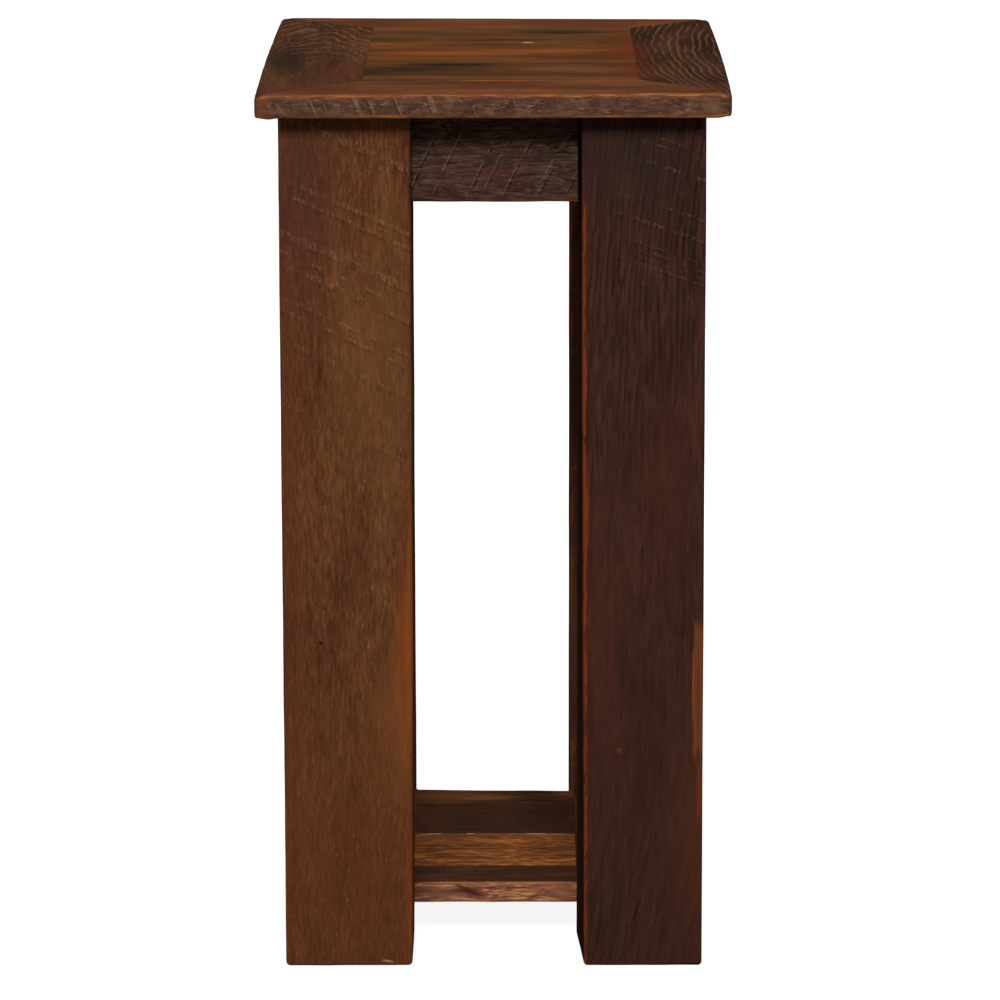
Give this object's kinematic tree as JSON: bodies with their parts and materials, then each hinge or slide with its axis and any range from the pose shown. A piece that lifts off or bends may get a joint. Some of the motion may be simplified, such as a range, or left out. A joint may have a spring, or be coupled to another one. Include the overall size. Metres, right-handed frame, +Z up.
{
  "type": "nightstand",
  "caption": "Narrow rustic nightstand of reclaimed timber: thick square legs, mitred board top, short aprons and a low open shelf.",
  "frame": {"origin": "on the floor, under the middle of the top", "axes": "+Z up, front towards -Y, +X to the right as seen from the front"},
  "size_m": [0.332, 0.457, 0.635],
  "materials": {
    "front_left_leg": "rough-sawn reclaimed timber, oiled, worn orange along its edges",
    "front_right_leg": "dark reclaimed timber, oiled, worn orange along its edges",
    "back_left_leg": "rough-sawn reclaimed timber, oiled",
    "back_right_leg": "rough-sawn reclaimed timber, oiled",
    "front_apron": "dark rough-sawn reclaimed board with drying cracks",
    "back_apron": "dark rough-sawn reclaimed board",
    "left_apron": "rough-sawn reclaimed board",
    "right_apron": "rough-sawn reclaimed board",
    "top_front_border": "satin oiled reclaimed board",
    "top_back_border": "satin oiled reclaimed board",
    "top_left_border": "satin oiled reclaimed board, cathedral grain",
    "top_right_border": "satin oiled reclaimed board, cathedral grain",
    "top_front_field_board": "satin oiled reclaimed board",
    "top_middle_field_board": "satin oiled reclaimed board",
    "top_back_field_board": "satin oiled reclaimed board",
    "shelf_left_rail": "satin oiled reclaimed board",
    "shelf_right_rail": "satin oiled reclaimed board",
    "shelf_front_board": "dark reclaimed board, fresh-sawn front edge",
    "shelf_second_board": "orange-brown reclaimed board",
    "shelf_third_board": "very dark reclaimed board",
    "shelf_back_board": "brown reclaimed board",
    "mitre_keys": "planed hardwood",
    "cleats": "planed softwood, unfinished",
    "screws": "zinc-plated steel"
  },
  "bodies": {
    "root": {"front_left_leg": "front_left_leg", "front_right_leg": "front_right_leg", "back_left_leg": "back_left_leg", "back_right_leg": "back_right_leg", "front_apron": "front_apron", "back_apron": "back_apron", "left_apron": "left_apron", "right_apron": "right_apron", "top_front_border": "top_front_border", "top_back_border": "top_back_border", "top_left_border": "top_left_border", "top_right_border": "top_right_border", "top_front_field_board": "top_front_field_board", "top_middle_field_board": "top_middle_field_board", "top_back_field_board": "top_back_field_board", "shelf_left_rail": "shelf_left_rail", "shelf_right_rail": "shelf_right_rail", "shelf_front_board": "shelf_front_board", "shelf_second_board": "shelf_second_board", "shelf_third_board": "shelf_third_board", "shelf_back_board": "shelf_back_board", "front_left_mitre_key": "mitre_keys", "front_right_mitre_key": "mitre_keys", "back_left_mitre_key": "mitre_keys", "back_right_mitre_key": "mitre_keys", "front_top_cleat": "cleats", "back_top_cleat": "cleats", "left_top_cleat": "cleats", "right_top_cleat": "cleats", "front_top_screw_start": "screws", "front_top_screw_stop": "screws", "front_apron_screw_start": "screws", "front_apron_screw_stop": "screws", "back_top_screw_start": "screws", "back_top_screw_stop": "screws", "back_apron_screw_start": "screws", "back_apron_screw_stop": "screws", "left_top_screw_start": "screws", "left_top_screw_stop": "screws", "left_apron_screw_start": "screws", "left_apron_screw_stop": "screws", "right_top_screw_start": "screws", "right_top_screw_stop": "screws", "right_apron_screw_start": "screws", "right_apron_screw_stop": "screws"}
  },
  "joints": []
}
